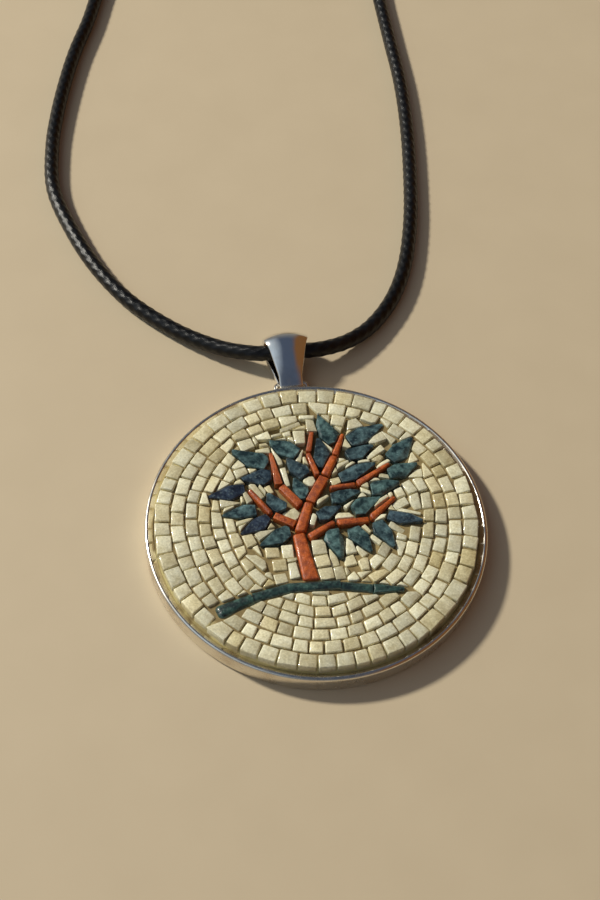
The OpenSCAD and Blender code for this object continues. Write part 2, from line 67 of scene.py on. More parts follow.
# ---- Cord ----
# One length of black waxed cotton cord, 2 mm thick and braided round. It runs from the left
# crimp through the bail and back, and the length that isn't worn open is wound in a coil.
cord_d = 2 * mm
cord_route = [
    (-18, 106.2, 1.4), (-18, 104, 1.3), (-18.3, 101, 1.1), (-19, 98.5, 1), (-20.7, 92.5, 1),
    (-23, 86, 1), (-24.7, 80, 1), (-26.3, 73, 1), (-27.4, 66, 1), (-27.6, 58, 1),
    (-25.5, 50, 1), (-22.6, 43, 1), (-18.8, 37, 1), (-13.5, 31.6, 1.1), (-8.5, 27.9, 1.6),
    (-4.5, 26, 2.2), (-2, 25.6, 2.35), (2, 25.5, 2.35), (5, 25.8, 2.1), (8.5, 27.2, 1.5),
    (12, 29.8, 1.1), (15.5, 34.2, 1), (18.2, 40, 1), (20.4, 48, 1), (22, 57, 1),
    (23.2, 66, 1), (23.9, 75, 1), (24, 84, 1), (24.1, 93, 1), (24.2, 99, 1.2), (24.2, 105, 1.45)]
tail_route = [(8, 124.6, 3.2), (5, 125.4, 2.5), (2, 126.3, 1.7), (-1, 126.9, 1.4), (-3.2, 127, 1.4)]
coil_at = (12, 112)
outer_turn = 12.1
inner_turn = 10
low_turn = 1.45
high_turn = 3.5
wound = 1170                        # degrees wound, from the first turn to the tail


def ease(start, end, value):
    share = min(max((value - start) / (end - start), 0), 1)
    return share * share * (3 - 2 * share)


def coil_point(degrees):
    # the cord lies out, in, climbs on the inner turn and goes out again on the upper layer
    inwards = ease(300, 360, degrees) - ease(940, 1000, degrees)
    radius = outer_turn + (inner_turn - outer_turn) * inwards
    lift = low_turn + (high_turn - low_turn) * ease(620, 700, degrees)
    angle = math.radians(degrees)
    return (coil_at[0] + radius * math.cos(angle), coil_at[1] + radius * math.sin(angle), lift)


def on_curve(points, place):
    # the smooth curve through the points, at place from 0 to the last index
    i = min(int(place), len(points) - 2)
    u = place - i
    b = points[i]
    c = points[i + 1]
    a = points[i - 1] if i > 0 else 2 * b - c
    d = points[i + 2] if i < len(points) - 2 else 2 * c - b
    return (2 * b + (c - a) * u + (2 * a - 5 * b + 4 * c - d) * u ** 2
            + (3 * b - a - 3 * c + d) * u ** 3) / 2


def even_steps(points, step):
    # the curve through the points again, as points one step apart along it
    fine = [on_curve(points, k / 24) for k in range(24 * (len(points) - 1) + 1)]
    whole = sum((q - p).length for p, q in zip(fine, fine[1:]))
    count = round(whole / step)
    line = [fine[0]]
    run = 0
    for p, q in zip(fine, fine[1:]):
        piece = (q - p).length
        while len(line) < count and len(line) * whole / count <= run + piece:
            line.append(p.lerp(q, (len(line) * whole / count - run) / piece))
        run += piece
    return line + [fine[-1]]


def only(*chosen):
    bpy.ops.object.select_all(action="DESELECT")
    for piece in chosen:
        piece.select_set(True)
    bpy.context.view_layer.objects.active = chosen[0]


def add_node(tree, kind, **values):
    node = tree.nodes.new("ShaderNode" + kind)
    for key, value in values.items():
        name = key.replace("_", " ").title().replace("Uv", "UV")
        if name in node.inputs:
            node.inputs[name].default_value = value
        else:
            setattr(node, key, value)
    return node


def join_up(tree, *pairs):
    for source, target in pairs:
        tree.links.new(source, target)


def blend_colours(tree, mask, low, high):
    # two colours, each a plain colour or another node's output, mixed by a mask
    node = add_node(tree, "Mix", data_type="RGBA")
    tree.links.new(mask, node.inputs[0])
    for socket, colour in ((node.inputs[6], low), (node.inputs[7], high)):
        if isinstance(colour, bpy.types.NodeSocket):
            tree.links.new(colour, socket)
        else:
            socket.default_value = (*colour, 1)
    return node.outputs[2]


def spread(tree, source, low, high, out_low=0, out_high=1):
    # a value stretched from one range to another and held inside it
    node = add_node(tree, "MapRange")
    for socket, value in zip(node.inputs[1:5], (low, high, out_low, out_high)):
        socket.default_value = value
    tree.links.new(source, node.inputs[0])
    return node.outputs[0]


def sums(tree, operation, *values):
    node = add_node(tree, "Math", operation=operation)
    for socket, value in zip(node.inputs, values):
        if isinstance(value, bpy.types.NodeSocket):
            tree.links.new(value, socket)
        else:
            socket.default_value = value
    return node.outputs[0]


def new_material(name):
    made = bpy.data.materials.new(name)
    made.use_nodes = True
    return made, made.node_tree, made.node_tree.nodes["Principled BSDF"]


def waxed_cotton():
    made, tree, surface = new_material("waxed_cotton")
    uv = add_node(tree, "UVMap", uv_map="braid")
    parts = add_node(tree, "SeparateXYZ")
    join_up(tree, (uv.outputs[0], parts.inputs[0]))
    waves = [sums(tree, "COSINE", sums(tree, "MULTIPLY", parts.outputs[k], math.tau)) for k in (0, 1)]
    braid_shade_mask = sums(tree, "MULTIPLY", *waves)
    here = add_node(tree, "TexCoord")
    bloom = add_node(tree, "TexNoise", scale=260, detail=4, roughness=0.6)
    fibre = add_node(tree, "TexNoise", scale=9, detail=5, roughness=0.7)
    stretch = add_node(tree, "Mapping", scale=(1, 6, 1))
    join_up(tree, (here.outputs["Object"], bloom.inputs["Vector"]), (uv.outputs[0], stretch.inputs[0]),
            (stretch.outputs[0], fibre.inputs["Vector"]))
    wax = spread(tree, bloom.outputs[0], 0.5, 0.72)
    # painted shade: the grooves between the braid's raised picks are coloured darker than the picks,
    # following the same wave as the relief
    dark = blend_colours(tree, spread(tree, braid_shade_mask, -0.2, 0.9),
                         (0.001, 0.001, 0.001), (0.004, 0.004, 0.005))
    colour = blend_colours(tree, sums(tree, "MULTIPLY", wax, 0.3), dark, (0.018, 0.02, 0.024))
    join_up(tree, (colour, surface.inputs["Base Color"]))
    join_up(tree, (spread(tree, fibre.outputs[0], 0.3, 0.7, 0.2, 0.4), surface.inputs["Roughness"]))
    bump = add_node(tree, "Bump", strength=0.5, distance=0.04 * mm)
    join_up(tree, (fibre.outputs[0], bump.inputs["Height"]), (bump.outputs[0], surface.inputs["Normal"]))
    surface.inputs["Specular IOR Level"].default_value = 0.32
    return made


def braided_tube(name, line, diameter, pick, strands, relief, sides):
    # rings swept along the line, with the raised picks of a round braid
    corners = []
    for k, centre in enumerate(line):
        ahead = (line[min(k + 1, len(line) - 1)] - line[max(k - 1, 0)]).normalized()
        side = ahead.cross(Vector((0, 0, 1))).normalized()
        up = side.cross(ahead)
        wave = math.cos(math.tau * k * ring_gap / pick)
        for s in range(sides):
            angle = math.tau * (s + 0.5) / sides
            height = diameter / 2 - relief * (1 - wave * math.cos(strands * angle)) / 2
            corners.append(centre + height * (side * math.cos(angle) + up * math.sin(angle)))
    rings = len(line)
    faces = [(k * sides + s, (k + 1) * sides + s, (k + 1) * sides + (s + 1) % sides,
              k * sides + (s + 1) % sides) for k in range(rings - 1) for s in range(sides)]
    faces += [tuple(range(sides)), tuple(reversed(range((rings - 1) * sides, rings * sides)))]
    mesh = bpy.data.meshes.new(name)
    mesh.from_pydata(corners, [], faces)
    uv = mesh.uv_layers.new(name="braid")
    for face in mesh.polygons[:-2]:
        k, s = divmod(face.index, sides)
        for loop, (dk, ds) in zip(face.loop_indices, ((0, 0), (1, 0), (1, 1), (0, 1))):
            uv.data[loop].uv = ((k + dk) * ring_gap / pick, (s + ds + 0.5) * strands / sides)
    tube = bpy.data.objects.new(name, mesh)
    bpy.context.collection.objects.link(tube)
    only(tube)
    bpy.ops.object.shade_smooth()
    return tube


ring_gap = 0.25 * mm
cord_points = cord_route + [coil_point(d) for d in range(0, wound + 1, 15)] + tail_route
cord_line = even_steps([Vector(p) * mm for p in cord_points], ring_gap)
for centre in cord_line:
    centre.z = max(centre.z, cord_d / 2)
cord = braided_tube("braided_cord", cord_line, cord_d, pick=1.5 * mm, strands=6, relief=0.09 * mm,
                    sides=36)
cord.data.materials.append(waxed_cotton())
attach(cord, "cord")
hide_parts("cord", "cord_coil", "cord_tail")

# ---- Tray ----
# Round stamped bezel tray, silver-plated brass, 40 mm across. The rim stands round the mosaic
# and slopes in towards it, and the outer edges are rounded where the plate has worn a little.
tray_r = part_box("tray")[1][0]
rim_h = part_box("tray")[1][2]
floor_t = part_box("mortar_bed")[0][2]
cup_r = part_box("mortar_bed")[1][0]
rim_drop = 0.62 * mm                # how far the rim's inner edge lies below its top
rim_w = 0.45 * mm                   # the flat top of the rim


def plate_wear():
    # tarnish in broad patches, fine polishing scratches and the roughness that both leave
    group = bpy.data.node_groups.new("plate_wear", "ShaderNodeTree")
    group.interface.new_socket("Base Roughness", in_out="INPUT", socket_type="NodeSocketFloat")
    group.interface.new_socket("Tarnish", in_out="INPUT", socket_type="NodeSocketFloat")
    for name in ("Tarnish Mask", "Roughness", "Height"):
        group.interface.new_socket(name, in_out="OUTPUT", socket_type="NodeSocketFloat")
    given = group.nodes.new("NodeGroupInput")
    out = group.nodes.new("NodeGroupOutput")
    here = add_node(group, "TexCoord")
    patches = add_node(group, "TexNoise", scale=230, detail=5, roughness=0.65)
    scratches = add_node(group, "TexNoise", scale=1500, detail=3, roughness=0.6)
    drawn = add_node(group, "Mapping", scale=(1, 0.12, 1), rotation=(0, 0, 0.5))
    join_up(group, (here.outputs["Object"], patches.inputs["Vector"]),
            (here.outputs["Object"], drawn.inputs[0]), (drawn.outputs[0], scratches.inputs["Vector"]))
    mask = sums(group, "MULTIPLY", spread(group, patches.outputs[0], 0.45, 0.75), given.outputs[1])
    rough = sums(group, "ADD", given.outputs[0], spread(group, scratches.outputs[0], 0.3, 0.7, -0.05, 0.07))
    rough = sums(group, "ADD", rough, sums(group, "MULTIPLY", mask, 0.2))
    join_up(group, (mask, out.inputs[0]), (rough, out.inputs[1]), (scratches.outputs[0], out.inputs[2]))
    return group


wear_group = plate_wear()


def plated_metal(name, shine, tint, rough, tarnish):
    made, tree, surface = new_material(name)
    wear = add_node(tree, "Group", node_tree=wear_group)
    wear.inputs[0].default_value = rough
    wear.inputs[1].default_value = tarnish
    join_up(tree, (blend_colours(tree, wear.outputs[0], shine, tint), surface.inputs["Base Color"]),
            (wear.outputs[1], surface.inputs["Roughness"]))
    bump = add_node(tree, "Bump", strength=0.25, distance=0.01 * mm)
    join_up(tree, (wear.outputs[2], bump.inputs["Height"]), (bump.outputs[0], surface.inputs["Normal"]))
    surface.inputs["Metallic"].default_value = 1
    return made


silver = plated_metal("silver_plate", (0.78, 0.74, 0.66), (0.42, 0.31, 0.19), rough=0.2, tarnish=0.7)


def pick_faces(piece, wanted):
    # in edit mode, selects just the faces for which wanted(face) is true
    bpy.ops.mesh.select_all(action="DESELECT")
    bpy.ops.object.mode_set(mode="OBJECT")
    for face in piece.data.polygons:
        face.select = wanted(face)
    bpy.ops.object.mode_set(mode="EDIT")


def pick_edges(piece, wanted):
    # in edit mode, selects just the edges for which wanted(end, end) is true
    bpy.ops.mesh.select_all(action="DESELECT")
    bpy.ops.object.mode_set(mode="OBJECT")
    spots = piece.data.vertices
    for edge in piece.data.edges:
        edge.select = wanted(spots[edge.vertices[0]].co, spots[edge.vertices[1]].co)
    bpy.ops.object.mode_set(mode="EDIT")


def begin(name):
    # the primitive that was just added gets its name and goes into edit mode at the origin
    piece = bpy.context.object
    piece.name = name
    piece.data.name = name
    bpy.ops.object.transform_apply(location=True, rotation=True, scale=True)
    bpy.ops.object.mode_set(mode="EDIT")
    bpy.ops.mesh.select_mode(type="FACE")
    return piece


def finish_piece(piece, material, body, slot, *nodes, sharp=30):
    # closed up, shaded, given its material and handed to the body that it moves with
    bpy.ops.object.mode_set(mode="EDIT")
    bpy.ops.mesh.select_all(action="SELECT")
    bpy.ops.mesh.remove_doubles(threshold=0.1e-6)
    bpy.ops.mesh.normals_make_consistent(inside=False)
    bpy.ops.object.mode_set(mode="OBJECT")
    bpy.ops.object.shade_smooth_by_angle(angle=math.radians(sharp))
    piece.data.materials.clear()
    piece.data.materials.append(material)
    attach(piece, body)
    if nodes:
        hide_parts(*nodes)


def round_edges(piece, wanted, offset, segments):
    bpy.ops.mesh.select_mode(type="EDGE")
    pick_edges(piece, wanted)
    bpy.ops.mesh.bevel(offset=offset, segments=segments, profile=0.5)
    bpy.ops.mesh.select_mode(type="FACE")


bpy.ops.object.select_all(action="DESELECT")
bpy.ops.mesh.primitive_cylinder_add(vertices=192, radius=tray_r, depth=rim_h, location=(0, 0, rim_h / 2))
tray = begin("bezel_tray")
pick_faces(tray, lambda face: face.normal.z > 0.9)
bpy.ops.mesh.inset(thickness=rim_w)
bpy.ops.mesh.inset(thickness=tray_r - cup_r - rim_w)
bpy.ops.transform.translate(value=(0, 0, -rim_drop))
bpy.ops.mesh.extrude_region_move(TRANSFORM_OT_translate={"value": (0, 0, floor_t - rim_h + rim_drop)})
bpy.ops.mesh.inset(thickness=2 * mm)
pick_faces(tray, lambda face: face.normal.z < -0.9)
bpy.ops.mesh.inset(thickness=0.9 * mm)
bpy.ops.mesh.inset(thickness=6 * mm)


def level_ring(a, b, radius):
    # whether an edge lies on the level circle of that radius
    return (abs(a.z - b.z) < 0.01 * mm and abs(a.xy.length - radius) < 0.02 * mm
            and abs(b.xy.length - radius) < 0.02 * mm)


round_edges(tray, lambda a, b: level_ring(a, b, tray_r), 0.35 * mm, 6)
round_edges(tray, lambda a, b: level_ring(a, b, tray_r - rim_w) and a.z > 1 * mm, 0.1 * mm, 3)
finish_piece(tray, silver, "pendant", "silver_plate", "tray")

# ---- Mortar ----
# Bonding mortar that holds the tesserae in the tray. It is squeezed up in the joints, highest
# at the rim where the clear glue of the border has run over it and turned yellowish.


def set_mortar():
    made, tree, surface = new_material("set_mortar")
    here = add_node(tree, "TexCoord")
    grit = add_node(tree, "TexNoise", scale=2400, detail=6, roughness=0.7)
    stain = add_node(tree, "TexNoise", scale=350, detail=3, roughness=0.5)
    for texture in (grit, stain):
        join_up(tree, (here.outputs["Object"], texture.inputs["Vector"]))
    reach = add_node(tree, "VectorMath", operation="LENGTH")
    join_up(tree, (here.outputs["Object"], reach.inputs[0]))
    brown = blend_colours(tree, grit.outputs[0], (0.1, 0.065, 0.022), (0.4, 0.3, 0.12))
    glue = blend_colours(tree, stain.outputs[0], (0.42, 0.35, 0.14), (0.66, 0.58, 0.28))
    border = sums(tree, "MULTIPLY", spread(tree, reach.outputs["Value"], 17.6 * mm, 18.7 * mm),
                  spread(tree, stain.outputs[0], 0.35, 0.5))
    join_up(tree, (blend_colours(tree, border, brown, glue), surface.inputs["Base Color"]),
            (spread(tree, border, 0, 1, 0.75, 0.35), surface.inputs["Roughness"]))
    bump = add_node(tree, "Bump", strength=0.8, distance=0.05 * mm)
    join_up(tree, (grit.outputs[0], bump.inputs["Height"]), (bump.outputs[0], surface.inputs["Normal"]))
    return made


joint_z = 2.98 * mm                 # usual level of the mortar in the joints
crown_z = 2.45 * mm                 # level between the leaves, where little came up
wall_z = 1.88 * mm                  # level where it meets the wall of the tray
mortar_t = 1.3 * mm                 # thickness before the joints are drawn up
crown_at = Vector((1, 5)) * mm
bpy.ops.object.select_all(action="DESELECT")
bpy.ops.mesh.primitive_cylinder_add(vertices=160, radius=cup_r, depth=mortar_t,
                                    location=(0, 0, floor_t + mortar_t / 2))
mortar = begin("joint_mortar")
pick_faces(mortar, lambda face: face.normal.z > 0.9)
for ring in range(36):
    bpy.ops.mesh.inset(thickness=0.5 * mm)
bpy.ops.mesh.poke()
bpy.ops.object.mode_set(mode="OBJECT")
for vertex in mortar.data.vertices:
    if vertex.co.z > 1.8 * mm:
        out = vertex.co.xy.length
        crown = ease(12 * mm, 8 * mm, (vertex.co.xy - crown_at).length)
        edge = ease(cup_r - 0.7 * mm, cup_r, out)
        rough = noise.noise(vertex.co / (1.1 * mm)) * 0.12 * mm
        vertex.co.z = (joint_z + (crown_z - joint_z) * crown + rough) * (1 - edge) + wall_z * edge
finish_piece(mortar, set_mortar(), "pendant", "mortar", "mortar_bed", sharp=60)

# ---- Tesserae ----
# Rods of coloured ceramic paste, fired and cut by hand into cubes, bars and leaves. Each
# one is pressed into the mortar at its own height and slope, and the whole is varnished.


def mottle():
    # two sizes of mottling that start at another place on every piece
    group = bpy.data.node_groups.new("mottle", "ShaderNodeTree")
    for name in ("Broad Scale", "Fine Scale"):
        group.interface.new_socket(name, in_out="INPUT", socket_type="NodeSocketFloat")
    for name in ("Broad", "Fine", "Tone", "Warmth", "Depth"):
        group.interface.new_socket(name, in_out="OUTPUT", socket_type="NodeSocketFloat")
    given = group.nodes.new("NodeGroupInput")
    out = group.nodes.new("NodeGroupOutput")
    here = add_node(group, "TexCoord")
    piece = add_node(group, "Attribute", attribute_name="piece")
    drawn = add_node(group, "SeparateXYZ")
    place = add_node(group, "SeparateXYZ")
    shift = add_node(group, "VectorMath", operation="ADD")
    join_up(group, (piece.outputs["Color"], drawn.inputs[0]), (here.outputs["Object"], place.inputs[0]),
            (here.outputs["Object"], shift.inputs[0]), (piece.outputs["Color"], shift.inputs[1]))
    for socket, target, detail in ((given.outputs[0], 0, 4), (given.outputs[1], 1, 6)):
        texture = add_node(group, "TexNoise", detail=detail, roughness=0.6)
        join_up(group, (shift.outputs[0], texture.inputs["Vector"]), (socket, texture.inputs["Scale"]),
                (texture.outputs[0], out.inputs[target]))
    # Depth grows from a piece's top down towards its foot and sets where the painted shade and smeared mortar
    # of the joints go
    join_up(group, (drawn.outputs[0], out.inputs["Tone"]), (drawn.outputs[1], out.inputs["Warmth"]),
            (spread(group, place.outputs[2], 2.5 * mm, 3.15 * mm, 1, 0), out.inputs["Depth"]))
    return group


mottle_group = mottle()


def varnished(name, dark, light, warm, joint, broad, fine, contrast, coat, rough, relief, speck):
    made, tree, surface = new_material(name)
    grain = add_node(tree, "Group", node_tree=mottle_group)
    grain.inputs[0].default_value = broad
    grain.inputs[1].default_value = fine
    patch = spread(tree, grain.outputs["Broad"], *contrast)
    body = blend_colours(tree, patch, dark, light)
    body = blend_colours(tree, grain.outputs["Warmth"], body, blend_colours(tree, patch, warm[0], warm[1]))
    fleck = spread(tree, grain.outputs["Fine"], 0.35, 0.65, 0.82, 1.12)
    tone = sums(tree, "MULTIPLY", fleck, spread(tree, grain.outputs["Tone"], 0, 1, 0.76, 1.1))
    shade = add_node(tree, "VectorMath", operation="SCALE")
    join_up(tree, (body, shade.inputs[0]), (tone, shade.inputs["Scale"]))
    grains = sums(tree, "MULTIPLY", spread(tree, grain.outputs["Fine"], 0.57, 0.68), speck)
    pale = [share * 1.05 + 0.12 for share in light]
    fired = blend_colours(tree, grains, shade.outputs[0], pale)
    # lower down each piece's sides the colour turns to the joint colour: partly mortar smeared up the sides,
    # partly painted shade in the joints
    foot_smear_and_shade = sums(tree, "MULTIPLY", grain.outputs["Depth"], 0.45)
    join_up(tree, (blend_colours(tree, foot_smear_and_shade, fired, joint), surface.inputs["Base Color"]),
            (spread(tree, grain.outputs["Fine"], 0.3, 0.7, rough - 0.1, rough + 0.12),
             surface.inputs["Roughness"]),
            (spread(tree, grain.outputs["Broad"], 0.35, 0.65, coat, coat * 0.55),
             surface.inputs["Coat Weight"]))
    pooled = add_node(tree, "Bump", strength=0.7, distance=0.09 * mm)
    bump = add_node(tree, "Bump", strength=0.6, distance=relief)
    join_up(tree, (grain.outputs["Broad"], pooled.inputs["Height"]),
            (pooled.outputs[0], bump.inputs["Normal"]), (grain.outputs["Fine"], bump.inputs["Height"]),
            (bump.outputs[0], surface.inputs["Normal"]))
    surface.inputs["Coat Roughness"].default_value = 0.07
    return made


# the fifth colour of each is its joint colour, mixed in low on the sides: a darker mortar brown for the
# cream, which is smear and painted shade together, and near black for the dark pieces, which is painted shade
cream = varnished(
    "cream_ceramic", (0.7, 0.64, 0.4), (0.88, 0.86, 0.64), ((0.5, 0.4, 0.18), (0.74, 0.64, 0.34)),
    (0.56, 0.46, 0.23), broad=900, fine=4200, contrast=(0.3, 0.68), coat=1, rough=0.4, relief=0.03 * mm,
    speck=0.15)
leaf_green = varnished(
    "leaf_ceramic", (0.008, 0.03, 0.032), (0.14, 0.26, 0.25), ((0.004, 0.008, 0.02), (0.05, 0.08, 0.13)),
    (0.02, 0.016, 0.01), broad=1000, fine=3400, contrast=(0.4, 0.68), coat=1, rough=0.34,
    relief=0.06 * mm, speck=0.3)
ground_green = varnished(
    "ground_ceramic", (0.005, 0.018, 0.015), (0.05, 0.12, 0.095), ((0.006, 0.014, 0.02), (0.03, 0.07, 0.075)),
    (0.01, 0.012, 0.01), broad=1200, fine=3600, contrast=(0.4, 0.68), coat=1, rough=0.36,
    relief=0.08 * mm, speck=0.3)
red_clay = varnished(
    "terracotta", (0.28, 0.045, 0.005), (0.58, 0.125, 0.014), ((0.2, 0.034, 0.005), (0.5, 0.1, 0.014)),
    (0.1, 0.03, 0.01), broad=1600, fine=5600, contrast=(0.35, 0.65), coat=0.7, rough=0.44,
    relief=0.1 * mm, speck=0.5)


def loose_pieces(node):
    # the separate solids of a node, each a copy with its flat faces made whole again
    whole = bpy.data.objects.new(node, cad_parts[node].data.copy())
    bpy.context.collection.objects.link(whole)
    only(whole)
    bpy.ops.mesh.customdata_custom_splitnormals_clear()
    bpy.ops.object.mode_set(mode="EDIT")
    bpy.ops.mesh.select_all(action="SELECT")
    bpy.ops.mesh.remove_doubles(threshold=1e-6)
    bpy.ops.mesh.dissolve_limited(angle_limit=math.radians(1))
    bpy.ops.mesh.separate(type="LOOSE")
    bpy.ops.object.mode_set(mode="OBJECT")
    found = list(bpy.context.selected_objects)

    def place(piece):
        middle = sum((v.co for v in piece.data.vertices), Vector()) / len(piece.data.vertices)
        return round(middle.x / mm, 2), round(middle.y / mm, 2)
    return sorted(found, key=place)


def slant_cuts(piece, chance):
    # the nippers leave one or two planes that fall away to the long sides of a chip
    spots = [v.co.copy() for v in piece.data.vertices]
    top = Vector((0, 0, max(v.z for v in spots)))
    far = max(((a, b) for a in spots for b in spots), key=lambda pair: (pair[1] - pair[0]).xy.length)
    across = Vector((far[0].y - far[1].y, far[1].x - far[0].x, 0)).normalized()
    middle = sum((v for v in spots), Vector()) / len(spots)
    middle.z = 0
    for side in (1, -1):
        slant = math.radians(chance.uniform(4, 19))
        ridge = middle + top + across * side * chance.uniform(0.12, 0.4) * mm
        bpy.ops.mesh.select_all(action="SELECT")
        bpy.ops.mesh.bisect(plane_co=ridge, clear_outer=True, use_fill=True,
                            plane_no=across * side * math.sin(slant) + Vector((0, 0, math.cos(slant))))


def lay_piece(piece, chance, slope, spare, nip, bevel, segments, other=(0.15, 0.3), twist=0,
              slanted=False, rod=False, blunt_x=-tray_r):
    # the top gets its own slope and height, the corners are nipped and the edges worn round
    spots = piece.data.vertices
    middle = sum((v.co for v in spots), Vector()) / len(spots)
    top = max(v.co.z for v in spots)
    lean = (chance.gauss(0, slope), chance.gauss(0, slope))
    turn = Matrix.Rotation(math.radians(chance.uniform(-twist, twist)), 4, "Z")
    piece.data.transform(Matrix.Translation(middle) @ turn @ Matrix.Translation(-middle))
    for vertex in spots:
        if vertex.co.z > middle.z:
            away = vertex.co - middle
            vertex.co.z = top + lean[0] * away.x + lean[1] * away.y + chance.uniform(-0.03, 0.03) * mm
            vertex.co.xy -= away.xy.normalized() * chance.uniform(-spare, nip)
    low = middle.z
    longest = max((e.xy.length for e in (a.co - b.co for a in spots for b in spots)))
    only(piece)
    bpy.ops.object.mode_set(mode="EDIT")
    if slanted:
        slant_cuts(piece, chance)
    bpy.ops.mesh.select_mode(type="EDGE")
    if rod:
        pick_edges(piece, lambda a, b: min(a.z, b.z) > low and (a - b).length > 0.35 * longest
                   or max(a.x, b.x) < blunt_x and max(a.z, b.z) > low)
    else:
        pick_edges(piece, lambda a, b: max(a.z, b.z) > low)
    bpy.ops.mesh.bevel(offset=bevel * chance.uniform(0.8, 1.25), segments=segments, profile=0.5,
                       clamp_overlap=True)
    bpy.ops.object.mode_set(mode="OBJECT")
    shade = piece.data.color_attributes.new("piece", "FLOAT_COLOR", "POINT")
    colour = (chance.random(), min(max(chance.gauss(*other), 0), 1), chance.random(), 1)
    for entry in shade.data:
        entry.color = colour


def set_pieces(node, material, slot, chance, sharp=50, **cut):
    pieces = loose_pieces(node)
    for piece in pieces:
        lay_piece(piece, chance, **cut)
    only(*pieces)
    if len(pieces) > 1:
        bpy.ops.object.join()
    joined = bpy.context.object
    joined.name = node + "_set"
    finish_piece(joined, material, "pendant", slot, node, sharp=sharp)


chance = random.Random(5)
for node in sorted(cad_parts):
    if node == "cream_chips":
        set_pieces(node, cream, "cream_ceramic", chance, slope=0.08, spare=0.08 * mm,
                   nip=0.02 * mm, bevel=0.13 * mm, segments=3, other=(0.1, 0.35))
    elif node.startswith("cream_"):
        set_pieces(node, cream, "cream_ceramic", chance, slope=0.07, spare=0.03 * mm,
                   nip=0.08 * mm, bevel=0.15 * mm, segments=3, other=(0.2, 0.35), twist=2.5)
    elif node.startswith("leaves_"):
        set_pieces(node, leaf_green, "leaf_ceramic", chance, sharp=8, slope=0.05, spare=0.03 * mm,
                   nip=0.05 * mm, bevel=0.08 * mm, segments=1, other=(0.4, 0.45), slanted=True)
    elif node.startswith("ground_"):
        set_pieces(node, ground_green, "ground_ceramic", chance, slope=0.01, spare=0.1 * mm, nip=0,
                   bevel=0.6 * mm, segments=6, rod=True, blunt_x=-12.4 * mm)
    elif node.startswith(("trunk_", "main_", "low_")) or "_limb" in node:
        set_pieces(node, red_clay, "terracotta", chance, slope=0.03, spare=0.02 * mm, nip=0.03 * mm,
                   bevel=0.36 * mm, segments=4)

# ---- Staple ----
# A bend of round plated wire that the bail hangs in. Its legs run into the wall of the tray,
# where the solder has drawn up round them.


def bent_wire(name, radius, sides, start, moves):
    # a wire drawn out along +Y from its end: each move is a straight run or a bend round a point
    bpy.ops.object.select_all(action="DESELECT")
    bpy.ops.mesh.primitive_circle_add(vertices=sides, radius=radius, fill_type="NGON", location=start,
                                      rotation=(math.pi / 2, 0, 0))
    wire = begin(name)
    bpy.ops.mesh.select_all(action="SELECT")
    for move in moves:
        if len(move) == 3:
            bpy.ops.mesh.extrude_region_move(TRANSFORM_OT_translate={"value": move})
        else:
            centre, axis, degrees, steps = move
            bpy.ops.mesh.spin(steps=steps, angle=-math.radians(degrees), center=centre, axis=axis)
    return wire


wire_r = (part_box("staple")[1][2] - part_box("staple")[0][2]) / 2
wire_z = (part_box("staple")[1][2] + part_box("staple")[0][2]) / 2
hinge_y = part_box("staple")[1][1] - wire_r
leg_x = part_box("staple")[1][0] - wire_r
bend_r = 0.5 * mm
leg_end = 19.6 * mm                 # inside the wall of the tray
solder_l = 0.45 * mm
bare_y = 20.25 * mm                 # the legs are bare wire from here outwards
staple = bent_wire("wire_staple", wire_r, 20, (-leg_x, leg_end, wire_z), [
    (0, solder_l, 0),
    (0, bare_y - leg_end - solder_l, 0),
    (0, hinge_y - bend_r - bare_y, 0),
    ((bend_r - leg_x, hinge_y - bend_r, wire_z), (0, 0, 1), -90, 6),
    (2 * (leg_x - bend_r), 0, 0),
    ((leg_x - bend_r, hinge_y - bend_r, wire_z), (0, 0, 1), -90, 6),
    (0, bare_y - hinge_y + bend_r, 0),
    (0, leg_end + solder_l - bare_y, 0),
    (0, -solder_l, 0)])
bpy.ops.object.mode_set(mode="OBJECT")
for vertex in staple.data.vertices:
    flare = 1 + 0.5 * ease(bare_y, leg_end + 0.1 * mm, vertex.co.y)
    leg = Vector((math.copysign(leg_x, vertex.co.x), vertex.co.y, wire_z))
    vertex.co = leg + (vertex.co - leg) * flare
finish_piece(staple, silver, "pendant", "silver_plate", "staple", sharp=60)

# ---- Bail ----
# A strip of plated sheet folded into a drop over the staple and the cord. It widens towards
# the cord and its face is crowned from side to side, with polished, softened edges.
polished = plated_metal("polished_plate", (0.86, 0.85, 0.82), (0.48, 0.4, 0.3), rough=0.11, tarnish=0.4)
foot = (hinge_y, wire_z, 1.05 * mm)
head = (25.8 * mm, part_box("bail")[1][2] / 2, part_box("bail")[1][2] / 2)
head_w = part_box("bail")[1][0]       # half the strip's width over the cord
foot_w = 1.48 * mm                  # half the strip's width at the foot
foot_y = 21.6 * mm                  # the strip widens from here
head_y = 26.6 * mm                  # to here
strip_t = 0.5 * mm
bail_steps = 72


def drop_line(foot, head, steps):
    # the outside of the folded strip, once round from the far end, as evenly spaced points
    apart = Vector(head[:2]) - Vector(foot[:2])
    turn = math.atan2(apart.y, apart.x)
    half = math.acos((foot[2] - head[2]) / apart.length)
    spots = []
    for disc, first, last in ((head, 0, turn + half), (foot, turn + half, turn - half + math.tau),
                              (head, turn - half + math.tau, math.tau)):
        for k in range(13):
            g = first + (last - first) * k / 12
            spots.append(Vector((disc[0] + disc[2] * math.cos(g), disc[1] + disc[2] * math.sin(g))))
    fine = []
    for p, q in zip(spots, spots[1:]):
        parts = max(1, round((q - p).length / (0.05 * mm)))
        fine += [p.lerp(q, k / parts) for k in range(parts)]
    return [fine[round(k * len(fine) / steps) % len(fine)] for k in range(steps)]


